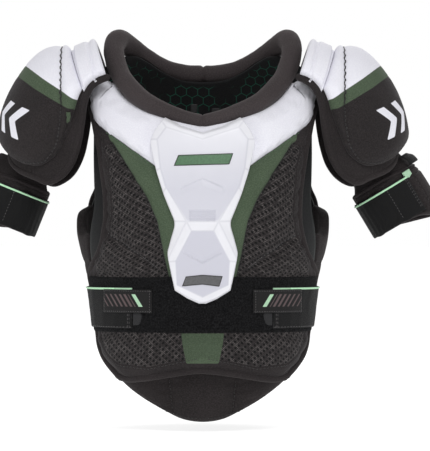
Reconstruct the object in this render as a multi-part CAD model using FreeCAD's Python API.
# Ice hockey shoulder pads: a padded vest (chest, back and collar), shoulder arches with floating
# shoulder caps, upper-arm guards with straps, side straps and a belly guard.
#
# Millimetres. +Z is up, the wearer faces -Y and the wearer's left is +X. X = 0 is the middle of
# the body, Y = 0 the side seam plane and Z = 0 the tip of the belly guard.
import FreeCAD, Part
import math
import os

os.makedirs("parts", exist_ok=True)
Vector = FreeCAD.Vector

DATUM = 6.0  # heights in the tables are measured from 6 mm under the belly guard's tip
SIDES = {"left": 1, "right": -1}  # sign of x

# ---------------------------------------------------------------- torso and layers
ROUNDNESS = 2.3  # exponent of the torso section: 2 is an ellipse, more is squarer
# height, half width, half depth to the front, half depth to the back
TORSO = [
    (-10, 102, 84, 84), (30, 108, 89, 86), (60, 112, 92, 88), (90, 117, 94, 88),
    (115, 121, 95, 88), (174, 129, 98, 90), (234, 143, 104, 98), (270, 146, 106, 102),
    (300, 146, 105, 105), (340, 141, 98, 104), (370, 138.5, 89, 99), (395, 136, 77, 89),
    (415, 133.5, 66, 76), (430, 131, 56, 64), (445, 128.5, 42, 46), (460, 126, 28, 28),
]

# inner and outer depth of each layer, outwards from the torso surface
LINER = (0.5, 8.0)
PANEL = (9.2, 17.0)
BAND = (17.5, 19.3)
GUARD_FOAM = (17.5, 19.8)
GUARD = (20.2, 30.5)
SPINE_PLATE = (GUARD[0], 29.5)
BELLY = (-8.0, -0.4)
PRINTED_TAB = (22.4, 24.2)
END_TAB = (20.1, 21.7)

BINDING_RADIUS = 3.6
BINDING_OFFSET = BINDING_RADIUS + 1.0  # from a panel's edge to the middle of its binding

# ---------------------------------------------------------------- front outlines
# Half outlines on the +X side: x, height
CHEST_HEM = [(0, 67.5), (40, 63.5), (75, 58.5), (92, 58), (104, 62)]
CHEST_NECK = [
    (0, 360.0), (29.5, 366.6), (55, 373.6), (78, 382.5), (96, 393.5), (107, 404), (114, 414.5),
]
CHEST_SHOULDER = [(114, 414.5), (126, 423), (138, 427)]
CHEST_SIDE = [
    (104, 62), (115, 73), (124, 85), (129, 97), (131.8, 116), (136.4, 153), (139.4, 174),
    (141.5, 186), (136.5, 200), (130, 214), (124.2, 234.3), (121.3, 252.8), (121.6, 281.2),
    (124, 302), (126.5, 319.5), (129.5, 339.2), (135.5, 366.4), (141.5, 395), (141.5, 412),
    (138, 427),
]
CHEST_LINER_HEM = [(0, 70), (40, 66), (75, 61.5), (90, 61), (101, 64)]
CHEST_LINER_SHOULDER = [(114, 414.5), (125, 422.5), (135, 427)]
CHEST_LINER_SIDE = [
    (101, 64), (111, 74), (119, 86), (124, 97), (126, 116), (130, 153), (133, 174),
    (136.5, 190), (139.5, 205), (141, 220), (140.2, 243), (137, 262), (135.5, 281), (136, 300),
    (136.6, 330), (137, 366), (139, 395), (138.6, 412), (135, 427),
]
STERNUM_TIP = [(0, 150.5), (20, 156.5), (36.6, 165.5)]
STERNUM_TOP = [(0, 359.8), (29, 366.4), (54.5, 374.6)]
STERNUM_SIDE = [
    (36.6, 165.5), (40, 185), (43.6, 207), (42.5, 226), (37.2, 247), (39, 262), (49.5, 291),
    (61, 320.5), (69.5, 347), (63.5, 360), (54.5, 374.6),
]
STERNUM_FOAM_SIDE = [(30, 188), (46.9, 365.6)]
FOAM_TOP_SCALE = 0.86  # width of the foam's top edge against the guard's
FOAM_TOP_DROP = 9
BAND_HALF_WIDTH = 130
BAND_Z = (115.2, 183.5)
BELLY_TIP = [(0, 6), (26, 9.5), (52, 21)]
BELLY_SIDE = [(52, 21), (75, 33.5), (97, 48.5), (110, 59.8)]
BELLY_TAB_HALF_WIDTH = 70
BELLY_TAB_Z = (73.5, 116)

# ---------------------------------------------------------------- back outlines
BACK_HEM = [(0, 34), (40, 40), (74, 50), (98, 58)]
BACK_NECK = [
    (0, 423.5), (30, 426), (55, 432), (76, 439.5), (92, 444), (103, 444), (113, 441),
]
BACK_SHOULDER = [(113, 441), (126, 437.5), (138, 434)]
BACK_SIDE = [
    (98, 58), (108, 76), (113, 95), (117, 115), (130, 174), (139, 215), (144, 240), (146, 262),
    (144, 276), (138, 290), (134.5, 310), (133, 339), (136, 366), (140, 395), (141, 415),
    (138, 434),
]
BACK_LINER_SCALE = 0.985  # width of the liner against the panel
BACK_LINER_RISE = 2       # the liner's hem above the panel's
BACK_LINER_SHOULDER = [(113, 441), (125, 437.5), (136, 434)]
# bottom, top, half width at the bottom, half width at the top
SPINE_PLATES = [(118, 196, 27, 34), (200, 292, 34.5, 41), (296, 398, 41.5, 49)]
SPINE_FOAM_HALF_WIDTH = 20
SPINE_FOAM_Z = (126, 390)

# collar roll from the centre front to the centre back: centre x, y, height and radius
COLLAR = [
    (0.4, -98, 371.6, 9.5), (16, -97, 374.8, 9.6), (32.4, -95, 380.3, 9.8),
    (64, -88, 394.2, 10.4), (87.5, -72, 412.8, 11.6), (103, -48, 435, 12.0),
    (110.5, -20, 462, 12.4), (106, 9, 478.5, 13.2), (92.5, 36, 471.5, 13.0),
    (74, 56, 458.7, 12.6), (48.5, 72, 445, 12.4), (22, 79, 439.2, 12.4), (0.4, 80, 438.0, 12.4),
]
COLLAR_SECTIONS = 25

# ---------------------------------------------------------------- side wings and straps
WING_INNER = 0.5
WING_OUTER = (8.4, 12.5)  # outer depth at the front and back edges, and in the middle
WING_BOTTOM = 106
WING_TOP = 236            # height of the top at the front edge
WING_TOP_RISE = 36        # how much higher the top is at the back edge
WING_GAPS = (0.022, 0.014)  # radians left clear of the chest liner and of the back liner

STRAP_Z = (121.0, 170.5)
STRAP_FREE_X = 85.0
STRAP_END = math.radians(97.0)
STRAP_THICKNESS = 2.0
STRAP_DEPTH = (20.0, 13.2)  # inner depth over the chest panel and at the side
STRAP_DIP = (1.15, 0.42)    # torso angle where the strap starts to dip, and over how much
ANCHOR_ANGLES = (math.radians(98.2), math.radians(108))
ANCHOR_THICKNESS = 2.4
PRINTED_TAB_X = (64.3, 122)
PRINTED_TAB_Z = (141.0, 167.3)
# two corners at the bottom, then the two above them: x, height
END_TAB_CORNERS = [(84.2, 125), (76, 128), (84.2, 139.5), (77, 139.5)]

# ---------------------------------------------------------------- shoulders
# share of the way from the collar out and down over the arm, front edge x and height,
# top line x and height, half depth
SHOULDER = [
    (0.00, 115, 428.7, 120, 473.0, 74), (0.12, 129.5, 422.6, 140, 468.5, 77),
    (0.25, 141, 410.4, 158, 461.5, 79), (0.37, 146.6, 392, 175, 459.5, 80),
    (0.50, 149, 365, 198, 448, 80.5), (0.62, 153, 341, 220, 421.5, 80),
    (0.75, 160, 321, 235, 391, 78), (0.88, 172, 306, 242, 359, 75),
    (1.00, 190, 296.5, 243, 335, 69),
]
SHOULDER_SWEEP = math.radians(80.0)  # half angle of the arc from the front edge to the back edge
SHOULDER_CENTRE = Vector(150, 0, 380 - DATUM)
LOBE_START = 0.7  # share of the way where the two lobes of the lower rim begin
LOBE_SIZE = 8.0
LOBE_DIRECTION = (0.45, -0.89)  # outwards and down

ARCH_START = 0.02
COLLAR_CLEARANCE = 0.045  # the arch starts this much later along its top, beside the collar
ARCH_END, CAP_START = 0.275 - 0.018, 0.275 + 0.018  # either side of the groove between them
ARCH_PAD_SPLIT = (0.115, 0.13)
# inner and outer depth, outwards from the shoulder surface
CAP_BASE = (-9.0, 0.0)
CAP_SHELL = (0.5, 2.7)
CAP_COVER = (3.1, 11.0)
ARCH_PAD = (0.5, 9.0)
# back edge of the cap's cover from its lower end up to the groove: share, sweep
COVER_SIDE = [(0.94, 0.62), (0.90, 0.78), (0.80, 0.85), (0.6, 0.87), (CAP_START, 0.86)]

# top of the bridge under the arch, from front to back: y, height
BRIDGE_ARC = [
    (-34, 441), (-29, 446.5), (-17, 452), (0, 454.7), (16, 455), (27, 454), (34, 452.5),
]
BRIDGE_X = (127.5, 141)
BRIDGE_THICKNESS = 7.0
BRIDGE_FALL = (0.0022, 114)  # it falls by the first times the square of x beyond the second

# ---------------------------------------------------------------- arm guards
# centre of the strap's top edge (x as a distance from the middle), and the tilt outwards
ARMS = {
    "left": dict(centre=(231.0, 8.0, 293.0), tilt=math.radians(31.0)),
    "right": dict(centre=(237.0, 8.0, 291.5), tilt=math.radians(22.0)),
}
# inner and outer radii
ARM_PAD_RADII = (36.0, 44.0)
ARM_SHELL_RADII = (44.4, 46.6)
ARM_STRAP_RADII = (44.6, 46.8)
# outlines: angle round the arm in degrees (0 outside, 90 front), distance down the arm
ARM_PAD_TOP = [
    (-125, -10.5), (-90, -11.5), (-70, -10.5), (-45, -8), (0, -7.5), (45, -8), (70, -10.5),
    (90, -12), (120, -12), (150, -11.5), (190, -10.5),
]
ARM_PAD_BOTTOM = [
    (-125, 40), (-90, 48), (-40, 57), (0, 60), (40, 54), (70, 46), (100, 43.5), (140, 43.5),
    (190, 43.5),
]
ARM_SHELL_TOP = [(-70, 0), (0, -2), (46, 0)]
ARM_SHELL_BOTTOM = [(-70, 40), (0, 50), (46, 40)]
ARM_STRAP_DOWN = (0.0, 46.0)
ARM_STRAP_FREE, ARM_STRAP_FOLD, ARM_STRAP_SEWN = 57.0, 186.0, 238.0
ARM_FOLD_GAP = 1.6
# web above the pad: distance down the arm, inner radius
WEB_PROFILE = [(-50, 40.0), (-30, 39.0), (-26, 41.5), (-20, 47.5), (-14, 49.5), (-8, 50.0)]
WEB_ANGLES = (12, 42)
WEB_DOWN = (-26, -13)
WEB_THICKNESS = 1.8


# ---------------------------------------------------------------- curves and grids
def smooth(t):
    """Eased step from 0 to 1."""
    t = min(max(t, 0.0), 1.0)
    return t * t * (3 - 2 * t)


def hermite(rows, t):
    """Smooth interpolation of rows (t, value, value, ...) at t."""
    last = len(rows) - 1

    def chord(j, k):
        return (rows[j + 1][k] - rows[j][k]) / (rows[j + 1][0] - rows[j][0])

    def slope(j, k):
        if j == 0:
            return chord(0, k)
        if j == last:
            return chord(last - 1, k)
        before = rows[j][0] - rows[j - 1][0]
        after = rows[j + 1][0] - rows[j][0]
        return (chord(j - 1, k) * after + chord(j, k) * before) / (before + after)

    i = max((k for k in range(last) if rows[k][0] <= t), default=0)
    start, end = rows[i], rows[i + 1]
    span = end[0] - start[0]
    u = (t - start[0]) / span
    u2, u3 = u * u, u * u * u
    return [
        (2 * u3 - 3 * u2 + 1) * start[k] + (u3 - 2 * u2 + u) * slope(i, k) * span
        + (-2 * u3 + 3 * u2) * end[k] + (u3 - u2) * slope(i + 1, k) * span
        for k in range(1, len(start))
    ]


def curve(points):
    """A smooth curve through 2D points, as a function of the share of its length."""
    lengths = [0.0]
    for p, q in zip(points, points[1:]):
        lengths.append(lengths[-1] + math.hypot(q[0] - p[0], q[1] - p[1]))
    rows = [(s / lengths[-1],) + tuple(p) for s, p in zip(lengths, points)]
    return lambda t: tuple(hermite(rows, min(max(t, 0.0), 1.0)))


def straight(a, b):
    return lambda t: (a[0] + (b[0] - a[0]) * t, a[1] + (b[1] - a[1]) * t)


def mirror_curve(points):
    """The whole of a curve whose half starts on the middle line."""
    return curve([(-x, z) for x, z in reversed(points[1:])] + list(points))


def side_pair(points):
    """The -X and +X side curves."""
    return curve([(-x, z) for x, z in points]), curve(points)


def coons(bottom, top, left, right, nu, nv, spread=lambda v: v):
    """Grid of points of the four-sided patch between curves, nv rows of nu points."""
    c00, c10, c01, c11 = bottom(0), bottom(1), top(0), top(1)
    grid = []
    for j in range(nv):
        v = spread(j / (nv - 1))
        row = []
        for i in range(nu):
            u = i / (nu - 1)
            b, t, l, r = bottom(u), top(u), left(v), right(v)
            row.append(tuple(
                (1 - v) * b[k] + v * t[k] + (1 - u) * l[k] + u * r[k]
                - ((1 - u) * (1 - v) * c00[k] + u * (1 - v) * c10[k]
                   + (1 - u) * v * c01[k] + u * v * c11[k])
                for k in range(2)))
        grid.append(row)
    return grid


def between(bottom, top, nu, nv):
    """Patch between two curves, with straight sides."""
    left, right = straight(bottom(0), top(0)), straight(bottom(1), top(1))
    return coons(bottom, top, left, right, nu, nv)


def rect(p0, p1, q0, q1, nu, nv):
    return [[(p0 + (p1 - p0) * i / (nu - 1), q0 + (q1 - q0) * j / (nv - 1))
             for i in range(nu)] for j in range(nv)]


def top_boundary(neck, shoulder, neck_share=0.80):
    """Top edge from shoulder to shoulder; the neck takes the middle share of the parameter."""
    neck_curve, shoulder_curve = curve(neck), curve(shoulder)

    def edge(t):
        u = abs(2 * t - 1)
        if u <= neck_share:
            x, z = neck_curve(u / neck_share)
        else:
            x, z = shoulder_curve((u - neck_share) / (1 - neck_share))
        return math.copysign(x, t - 0.5), z
    return edge


def panel_grid(hem, neck, shoulder, side, angle, depth):
    """Grid of torso angles and heights; rows draw closer towards the more curved shoulders."""
    def in_angles(outline):
        def turned(t):
            x, z = outline(t)
            return angle(x, z, depth), z
        return turned

    outlines = [mirror_curve(hem), top_boundary(neck, shoulder), *side_pair(side)]
    return coons(*map(in_angles, outlines), 41, 35, spread=lambda v: v * (1.4 - 0.4 * v))


# ---------------------------------------------------------------- surfaces
def torso(theta, z, depth):
    """Point outside the torso surface: theta is 0 at the front, + towards +X."""
    half_width, front, back = hermite(TORSO, z)
    s, c = math.sin(theta), math.cos(theta)
    a, b = half_width + depth, (front if c > 0 else back) + depth
    r = ((abs(s) / a) ** ROUNDNESS + (abs(c) / b) ** ROUNDNESS) ** (-1.0 / ROUNDNESS)
    return Vector(r * s, -r * c, z - DATUM)


def section_angle(x, half_width, half_depth):
    """Angle off the y axis of the section's point at x, with the sign of x."""
    share = min(abs(x) / half_width, 0.995)
    y = half_depth * (1 - share ** ROUNDNESS) ** (1 / ROUNDNESS)
    return math.copysign(math.atan2(share * half_width, y), x)


def angle_front(x, z, depth):
    """Torso angle at which the front stands at x."""
    half_width, front, _ = hermite(TORSO, z)
    return section_angle(x, half_width + depth, front + depth)


def angle_back(x, z, depth):
    """Torso angle at which the back stands at x, running on through 180 degrees."""
    half_width, _, back = hermite(TORSO, z)
    return math.pi - section_angle(x, half_width + depth, back + depth)


def on_front(reference):
    """Mapping of (x, z), true to x at the reference depth."""
    return lambda x, z, depth: torso(angle_front(x, z, reference), z, depth)


def on_back(reference):
    return lambda x, z, depth: torso(angle_back(x, z, reference), z, depth)


def shoulder_base(t, sweep):
    """Shoulder surface of the left side: sweep is -1 at the front, 0 on top, 1 at the back."""
    edge_x, edge_z, top_x, top_z, half_depth = hermite(SHOULDER, t)
    arc, flat = math.cos(sweep * SHOULDER_SWEEP), math.cos(SHOULDER_SWEEP)
    rise = (arc - flat) / (1 - flat)
    y = half_depth * math.sin(sweep * SHOULDER_SWEEP) / math.sin(SHOULDER_SWEEP)
    lobe = smooth((t - LOBE_START) / (1 - LOBE_START)) * LOBE_SIZE
    lobe *= math.sin(math.pi * min(abs(sweep), 1.0)) ** 2
    return Vector(edge_x + (top_x - edge_x) * rise + LOBE_DIRECTION[0] * lobe, y,
                  edge_z + (top_z - edge_z) * rise + LOBE_DIRECTION[1] * lobe - DATUM)


def on_shoulder(sign):
    """Mapping of (t, sweep) square to the shoulder surface."""
    step = 0.01

    def point(t, sweep, depth):
        base = shoulder_base(t, sweep)
        along = shoulder_base(t + step, sweep) - shoulder_base(t - step, sweep)
        across = shoulder_base(t, sweep + step) - shoulder_base(t, sweep - step)
        normal = along.cross(across)
        normal.normalize()
        if normal.dot(base - SHOULDER_CENTRE) < 0:
            normal = normal * -1.0
        spot = base + normal * depth
        return Vector(sign * spot.x, spot.y, spot.z)
    return point


def on_arm(side):
    """Mapping of (degrees round the arm, distance down it) at a radius."""
    (centre_x, centre_y, centre_z), tilt = ARMS[side]["centre"], ARMS[side]["tilt"]

    def point(degrees, down, radius):
        angle = math.radians(degrees)
        out = radius * math.cos(angle)
        x = centre_x + down * math.sin(tilt) + out * math.cos(tilt)
        z = centre_z - down * math.cos(tilt) + out * math.sin(tilt)
        return Vector(SIDES[side] * x, centre_y - radius * math.sin(angle), z - DATUM)
    return point


# ---------------------------------------------------------------- solids
def thick(inner, outer):
    """A closed solid between two grids of points."""
    surfaces = []
    for grid in (inner, outer):
        surface = Part.BSplineSurface()
        surface.interpolate(grid)
        surfaces.append(surface)
    faces = [surface.toShape() for surface in surfaces]
    for edge_of in (lambda s: s.uIso(s.bounds()[0]), lambda s: s.uIso(s.bounds()[1]),
                    lambda s: s.vIso(s.bounds()[2]), lambda s: s.vIso(s.bounds()[3])):
        faces.append(Part.makeRuledSurface(*[edge_of(s).toShape() for s in surfaces]))
    shell = Part.makeShell(faces)
    shell.sewShape()
    solid = Part.makeSolid(shell)
    if solid.Volume < 0:
        solid.reverse()
    return solid


def layer(grid, mapping, inner, outer):
    """A solid between the grid mapped at two depths."""
    return thick(*[[[mapping(p, q, depth) for p, q in row] for row in grid]
                   for depth in (inner, outer)])


def tube(points, radii):
    """A round roll as a loft of circles, cut square where it ends on the middle plane."""
    last = len(points) - 1
    wires = []
    for i, (point, radius) in enumerate(zip(points, radii)):
        before, after = points[max(i - 1, 0)], points[min(i + 1, last)]
        axis = after - before
        if i in (0, last) and abs(point.x) < 1.0:
            axis = Vector(1 if after.x > before.x else -1, 0, 0)
        wires.append(Part.Wire([Part.makeCircle(radius, point, axis)]))
    return Part.makeLoft(wires, True, False, False)


def write(name, *solids):
    shape = solids[0] if len(solids) == 1 else Part.makeCompound(list(solids))
    shape.exportStep(f"parts/{name}.step")


# ---------------------------------------------------------------- bound edges
def binding_path(edge_row, inside_row):
    """Points beside a panel's edge, square to it and away from the row just inside."""
    middle = (PANEL[0] + PANEL[1]) / 2
    edge = [torso(theta, z, middle) for theta, z in edge_row]
    inside = [torso(theta, z, middle) for theta, z in inside_row]
    path = []
    for k, (point, inner) in enumerate(zip(edge, inside)):
        along = edge[min(k + 1, len(edge) - 1)] - edge[max(k - 1, 0)]
        along.normalize()
        away = point - inner
        away = away - along * away.dot(along)
        away.normalize()
        path.append(point + away * BINDING_OFFSET)
    return path


def swept_binding(path):
    """Roll swept along every second point, always ending on the last."""
    points = path[::2] + ([path[-1]] if len(path) % 2 == 0 else [])
    spline = Part.BSplineCurve()
    spline.interpolate(points)
    tangent = spline.tangent(spline.FirstParameter)[0]
    circle = Part.Wire([Part.makeCircle(BINDING_RADIUS, points[0], tangent)])
    return Part.Wire([spline.toShape()]).makePipeShell([circle], True, False)


def lofted_binding(path):
    points = path[::2]
    return tube(points, [BINDING_RADIUS] * len(points))


def write_bindings(grid, side_name, hem_name, make_side):
    """Rolls along both sides and the hem of a panel."""
    for side, edge, inside in (("left", -1, -2), ("right", 0, 1)):
        path = binding_path([row[edge] for row in grid[1:]], [row[inside] for row in grid[1:]])
        write(f"{side}_{side_name}", make_side(path))
    write(hem_name, swept_binding(binding_path(grid[0][1:-1], grid[1][1:-1])))


# ---------------------------------------------------------------- vest
def chest():
    grid = panel_grid(CHEST_HEM, CHEST_NECK, CHEST_SHOULDER, CHEST_SIDE, angle_front, PANEL[1])
    write("chest_panel", layer(grid, torso, *PANEL))
    write_bindings(grid, "armhole_binding", "hem_binding", swept_binding)
    liner = panel_grid(CHEST_LINER_HEM, CHEST_NECK, CHEST_LINER_SHOULDER, CHEST_LINER_SIDE,
                       angle_front, LINER[1])
    write("chest_liner", layer(liner, torso, *LINER))


def sternum():
    """Guard, the foam under it and the band across the chest panel."""
    guard = coons(mirror_curve(STERNUM_TIP), mirror_curve(STERNUM_TOP),
                  *side_pair(STERNUM_SIDE), 17, 21)
    write("sternum_guard", layer(guard, on_front(GUARD[1]), *GUARD))
    (bottom_x, bottom_z), (top_x, top_z) = STERNUM_FOAM_SIDE
    foam = coons(
        straight((-bottom_x, bottom_z), (bottom_x, bottom_z)),
        mirror_curve([(x * FOAM_TOP_SCALE, z - FOAM_TOP_DROP) for x, z in STERNUM_TOP]),
        straight((-bottom_x, bottom_z), (-top_x, top_z)),
        straight((bottom_x, bottom_z), (top_x, top_z)), 9, 13)
    write("sternum_foam", layer(foam, on_front(GUARD[1]), *GUARD_FOAM))
    band = rect(-BAND_HALF_WIDTH, BAND_HALF_WIDTH, *BAND_Z, 25, 7)
    write("loop_band", layer(band, on_front(PANEL[1]), *BAND))


def belly():
    """Guard below the chest panel and the fixing tab above it."""
    top_x, top_z = BELLY_SIDE[-1]
    guard = coons(mirror_curve(BELLY_TIP), straight((-top_x, top_z), (top_x, top_z)),
                  *side_pair(BELLY_SIDE), 25, 7)
    write("belly_guard", layer(guard, on_front(0), *BELLY))
    tab = rect(-BELLY_TAB_HALF_WIDTH, BELLY_TAB_HALF_WIDTH, *BELLY_TAB_Z, 15, 7)
    write("belly_fixing_tab", layer(tab, on_front(0), *BELLY))


def back():
    grid = panel_grid(BACK_HEM, BACK_NECK, BACK_SHOULDER, BACK_SIDE, angle_back, PANEL[1])
    write("back_panel", layer(grid, torso, *PANEL))
    write_bindings(grid, "back_binding", "back_hem_binding", lofted_binding)
    hem = [(x * BACK_LINER_SCALE, z + BACK_LINER_RISE) for x, z in BACK_HEM]
    side = [(x * BACK_LINER_SCALE, z) for x, z in BACK_SIDE]
    liner = panel_grid(hem, BACK_NECK, BACK_LINER_SHOULDER, side, angle_back, LINER[1])
    write("back_liner", layer(liner, torso, *LINER))


def spine():
    """Three plates, one above the other, over a foam strip."""
    surface = on_back(GUARD[1])
    plates = [between(straight((-w0, z0), (w0, z0)), straight((-w1, z1), (w1, z1)), 9, 9)
              for z0, z1, w0, w1 in SPINE_PLATES]
    write("spine_guard", *[layer(plate, surface, *SPINE_PLATE) for plate in plates])
    foam = rect(-SPINE_FOAM_HALF_WIDTH, SPINE_FOAM_HALF_WIDTH, *SPINE_FOAM_Z, 7, 17)
    write("spine_foam", layer(foam, surface, *GUARD_FOAM))


def collar_roll(side, sign):
    rows = [(i / (len(COLLAR) - 1),) + station for i, station in enumerate(COLLAR)]
    points, radii = [], []
    for i in range(COLLAR_SECTIONS):
        x, y, z, radius = hermite(rows, i / (COLLAR_SECTIONS - 1))
        points.append(Vector(sign * x, y, z - DATUM))
        radii.append(radius)
    write(f"{side}_collar_roll", tube(points, radii))


# ---------------------------------------------------------------- sides
def x_at_height(outline, z):
    """x of an outline at a height, between its points."""
    for (x0, z0), (x1, z1) in zip(outline, outline[1:]):
        if z <= z1:
            return x0 + (x1 - x0) * (z - z0) / (z1 - z0)


def side_wing(side, sign):
    """Fills the side between the two liners, thinner towards its front and back edges."""
    def point(u, v, outer):
        z = WING_BOTTOM + v * (WING_TOP + WING_TOP_RISE * smooth((u - 0.1) / 0.9) - WING_BOTTOM)
        front = angle_front(x_at_height(CHEST_LINER_SIDE, z), z, LINER[1]) + WING_GAPS[0]
        back_x = x_at_height(BACK_SIDE, z) * BACK_LINER_SCALE
        rear = angle_back(back_x, z, LINER[1]) - WING_GAPS[1]
        rise = smooth(u / 0.3) * smooth((1 - u) / 0.3)
        edge, middle = WING_OUTER
        depth = edge + (middle - edge) * rise if outer else WING_INNER
        return torso(sign * (front + (rear - front) * u), z, depth)

    write(f"{side}_side_wing", layer(rect(0, 1, 0, 1, 13, 15), point, False, True))


def side_strap(side, sign):
    """Strap from the chest round to the side, its anchor and two tabs."""
    front_depth, side_depth = STRAP_DEPTH
    dip_start, dip_length = STRAP_DIP

    def point(share, z, height):
        free = angle_front(STRAP_FREE_X, z, front_depth)
        theta = free + (STRAP_END - free) * share
        dip = (front_depth - side_depth) * smooth((theta - dip_start) / dip_length)
        return torso(sign * theta, z, front_depth - dip + height)

    strap = rect(0, 1, *STRAP_Z, 17, 5)
    write(f"{side}_side_strap", layer(strap, point, 0.0, STRAP_THICKNESS))

    anchor = rect(*[sign * angle for angle in ANCHOR_ANGLES], *STRAP_Z, 5, 5)
    write(f"{side}_strap_anchor",
          layer(anchor, torso, side_depth, side_depth + ANCHOR_THICKNESS))

    printed = rect(*[sign * x for x in PRINTED_TAB_X], *PRINTED_TAB_Z, 11, 5)
    write(f"{side}_printed_tab", layer(printed, on_front(24), *PRINTED_TAB))

    corners = [(sign * x, z) for x, z in END_TAB_CORNERS]
    end_tab = between(straight(*corners[:2]), straight(*corners[2:]), 5, 5)
    write(f"{side}_end_tab", layer(end_tab, on_front(21), *END_TAB))


# ---------------------------------------------------------------- shoulders
def shoulder_bridge(side, sign):
    """Bridge under the arch, between the tops of the chest and back panels."""
    arc = curve(BRIDGE_ARC)
    fall, fall_start = BRIDGE_FALL

    def point(t, x, depth):
        y, z = arc(t)
        y0, z0 = arc(t - 0.01)
        y1, z1 = arc(t + 0.01)
        length = math.hypot(y1 - y0, z1 - z0)
        drop = fall * (x - fall_start) ** 2
        return Vector(sign * x, y - depth * (z1 - z0) / length,
                      z + depth * (y1 - y0) / length - drop - DATUM)

    write(f"{side}_shoulder_bridge",
          layer(rect(0, 1, *BRIDGE_X, 13, 4), point, -BRIDGE_THICKNESS, 0.0))


def arch_grid(end, half_sweep):
    """Grid from the collar out to end, starting later along the top."""
    grid = []
    for j in range(17):
        sweep = -half_sweep + 2 * half_sweep * j / 16
        start = ARCH_START + COLLAR_CLEARANCE * (1 - sweep * sweep)
        grid.append([(start + (end - start) * i / 5, sweep) for i in range(6)])
    return grid


def shoulder_arch(side, sign):
    surface = on_shoulder(sign)
    write(f"{side}_arch_base", layer(arch_grid(ARCH_END, 1), surface, *CAP_BASE))
    inner_end, outer_start = ARCH_PAD_SPLIT
    write(f"{side}_arch_pad",
          layer(arch_grid(inner_end, 0.97), surface, *ARCH_PAD),
          layer(rect(outer_start, ARCH_END, -0.95, 0.95, 5, 17), surface, *ARCH_PAD))


def shoulder_cap(side, sign):
    """Base, shell on it and padded cover over the shell."""
    surface = on_shoulder(sign)
    base = rect(CAP_START, 1.0, -1, 1, 15, 19)
    write(f"{side}_cap_base", layer(base, surface, *CAP_BASE))
    shell = rect(0.34, 0.84, -0.72, 0.72, 13, 17)
    write(f"{side}_cap_shell", layer(shell, surface, *CAP_SHELL))
    front_side = [(t, -sweep) for t, sweep in COVER_SIDE]
    cover = coons(straight(front_side[0], COVER_SIDE[0]), straight(front_side[-1], COVER_SIDE[-1]),
                  curve(front_side), curve(COVER_SIDE), 17, 15)
    write(f"{side}_cap_cover", layer(cover, surface, *CAP_COVER))


# ---------------------------------------------------------------- arms
def arm_guard(side):
    """Padded cuff open at the inner back, outside shell, strap in two lengths and a web."""
    surface = on_arm(side)
    pad = between(curve(ARM_PAD_BOTTOM), curve(ARM_PAD_TOP), 33, 7)
    write(f"{side}_arm_pad", layer(pad, surface, *ARM_PAD_RADII))
    shell = between(curve(ARM_SHELL_BOTTOM), curve(ARM_SHELL_TOP), 15, 5)
    write(f"{side}_arm_shell", layer(shell, surface, *ARM_SHELL_RADII))

    strap = rect(ARM_STRAP_FREE, ARM_STRAP_FOLD, *ARM_STRAP_DOWN, 15, 5)
    write(f"{side}_arm_strap", layer(strap, surface, *ARM_STRAP_RADII))
    root = rect(ARM_STRAP_FOLD + ARM_FOLD_GAP, ARM_STRAP_SEWN, *ARM_STRAP_DOWN, 9, 5)
    write(f"{side}_arm_strap_root", layer(root, surface, *ARM_STRAP_RADII))

    def web_point(degrees, down, height):
        return surface(degrees, down, hermite(WEB_PROFILE, down)[0] + height)

    web = rect(*WEB_ANGLES, *WEB_DOWN, 7, 7)
    write(f"{side}_arm_web", layer(web, web_point, 0.0, WEB_THICKNESS))


chest()
sternum()
belly()
back()
spine()
for side, sign in SIDES.items():
    collar_roll(side, sign)
    side_wing(side, sign)
    side_strap(side, sign)
    shoulder_bridge(side, sign)
    shoulder_arch(side, sign)
    shoulder_cap(side, sign)
    arm_guard(side)
